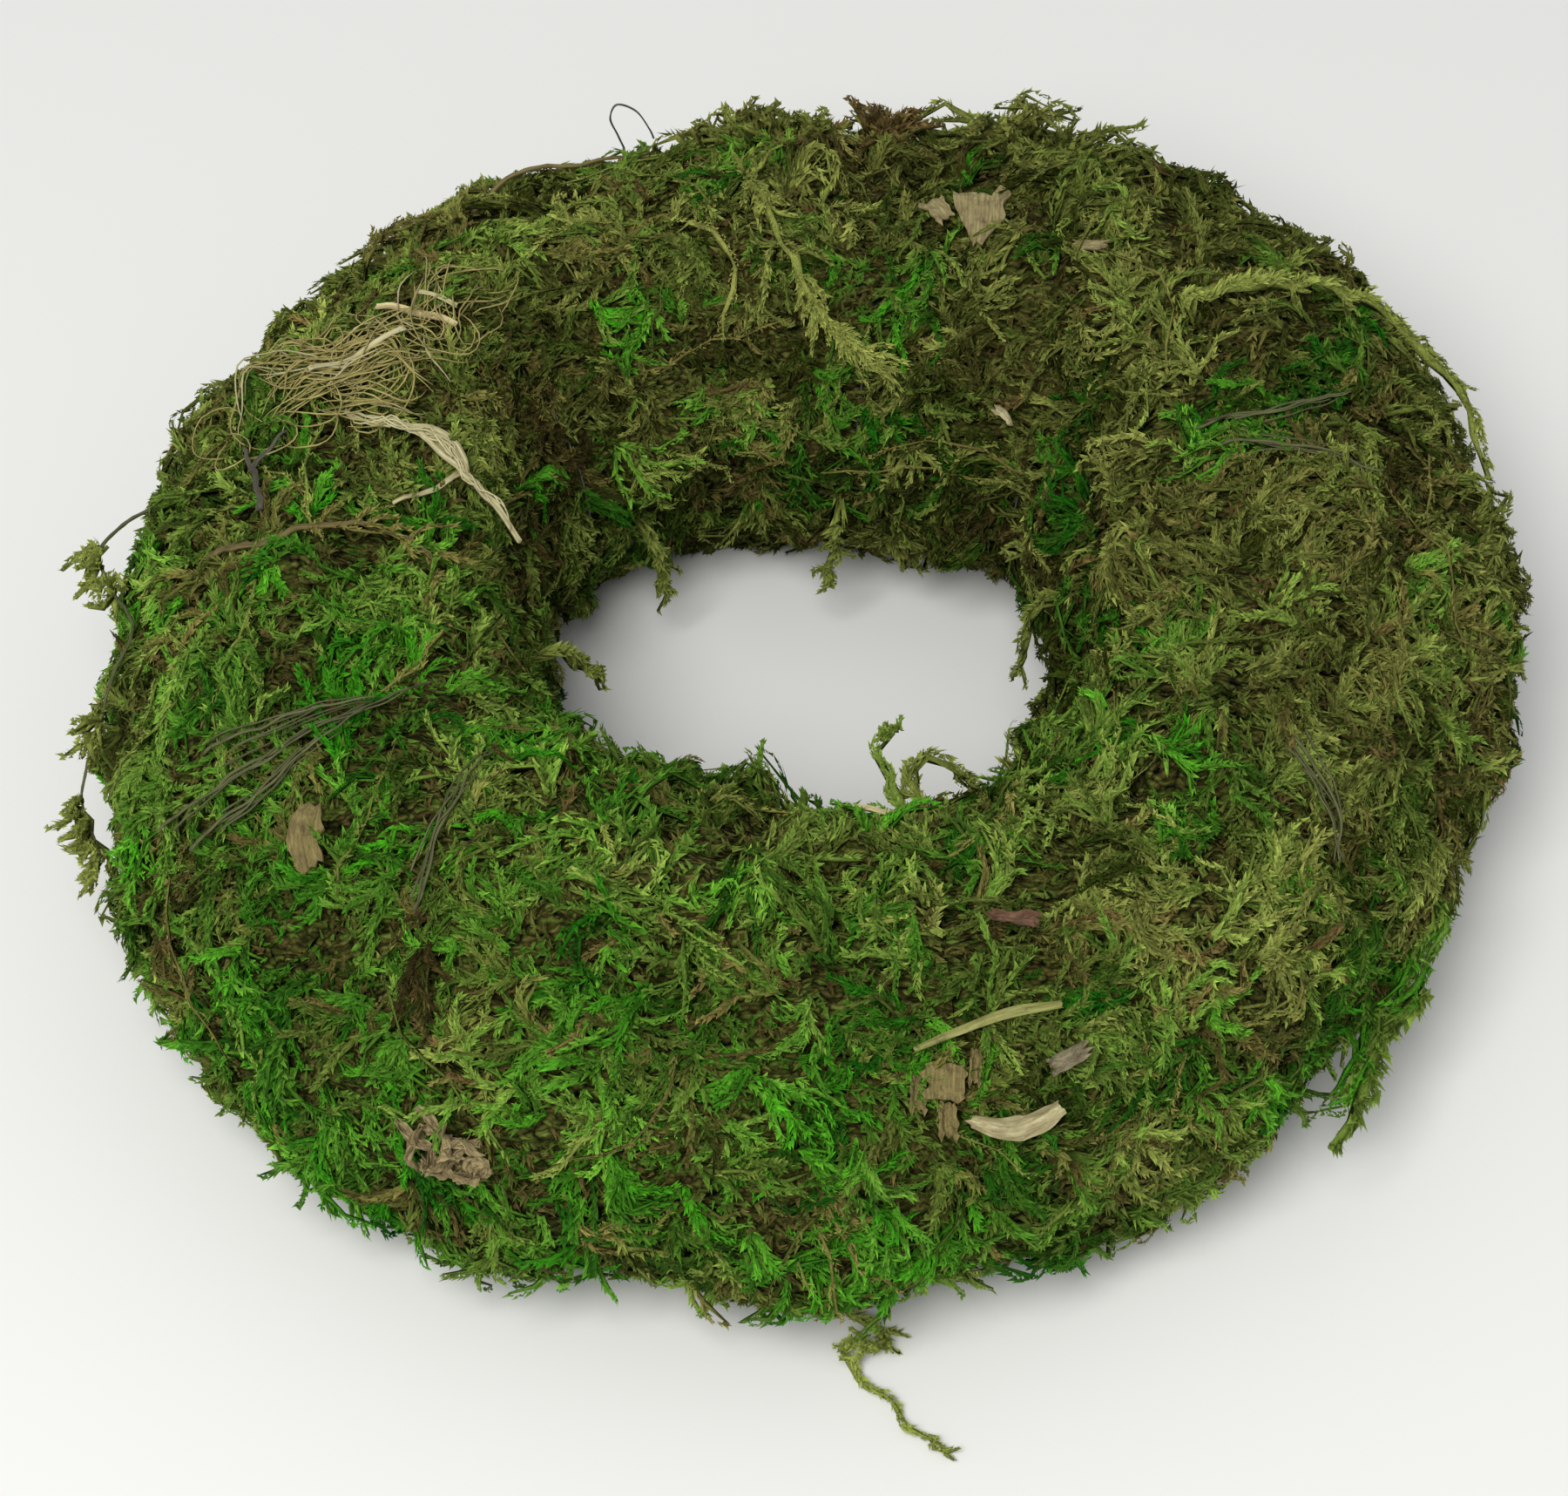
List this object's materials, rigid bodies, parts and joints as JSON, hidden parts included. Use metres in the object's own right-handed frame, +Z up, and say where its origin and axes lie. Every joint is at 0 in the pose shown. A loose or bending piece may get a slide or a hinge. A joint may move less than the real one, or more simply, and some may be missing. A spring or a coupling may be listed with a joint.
{
  "type": "moss wreath",
  "caption": "Round moss wreath: a straw ring wrapped in wire-bound pads of shaggy olive and green moss, with loose straw, twigs, bark flakes, a dead leaf and trailing moss strands.",
  "frame": {"origin": "middle of the whole wreath in plan, loose strands counted, on the surface it lies on", "axes": "+Z up along the wreath's axis, away from the surface; -Y towards the viewer, where one strand trails out; +X to the viewer's right"},
  "size_m": [0.2583, 0.264, 0.0828],
  "materials": {
    "moss": "matte",
    "straw": "satin",
    "tan_flake": "matte",
    "cream": "satin",
    "pink": "matte",
    "dark_stem": "matte",
    "brown_twig": "matte",
    "dead_leaf": "matte",
    "wire": "satin",
    "twine": "matte"
  },
  "bodies": {
    "root": {"straw_ring": "straw", "ring_twine": "twine", "moss_pad_01": "moss", "moss_pad_02": "moss", "moss_pad_03": "moss", "moss_pad_04": "moss", "moss_pad_05": "moss", "moss_pad_06": "moss", "moss_pad_07": "moss", "moss_pad_08": "moss", "moss_pad_09": "moss", "moss_pad_10": "moss", "moss_pad_11": "moss", "moss_pad_12": "moss", "binding_wire": "wire", "forked_stalk": "straw", "short_straw": "straw", "fan_flake": "tan_flake", "side_flake": "tan_flake", "small_flake": "tan_flake", "straw_bit": "cream", "front_flake": "tan_flake", "straw_strip": "straw", "cream_shaving": "cream", "pink_flake": "pink", "brown_flake": "tan_flake", "hole_straw": "straw", "red_leaf_bit": "pink", "dead_leaf": "dead_leaf", "dry_grass": "straw", "dark_twig": "dark_stem", "brown_twig": "brown_twig", "left_sprig": "moss", "twig_arch": "brown_twig", "knotted_strand": "moss", "right_strand": "moss", "moss_plume": "moss", "thin_strand": "moss", "dark_stem_left_1": "dark_stem", "dark_stem_left_2": "dark_stem", "dark_stem_left_3": "dark_stem", "dark_stem_front": "dark_stem", "dark_stem_right_1": "dark_stem", "dark_stem_right_2": "dark_stem", "dark_stem_low": "dark_stem", "hole_hook": "moss", "hole_arch": "moss", "hole_sprig_1": "moss", "hole_sprig_2": "moss", "hole_sprig_3": "moss", "hole_sprig_4": "moss", "top_tuft_1": "moss", "top_tuft_2": "moss", "top_tuft_3": "moss", "top_tuft_4": "moss", "loose_flap": "moss", "trailing_strand": "moss"}
  },
  "joints": []
}
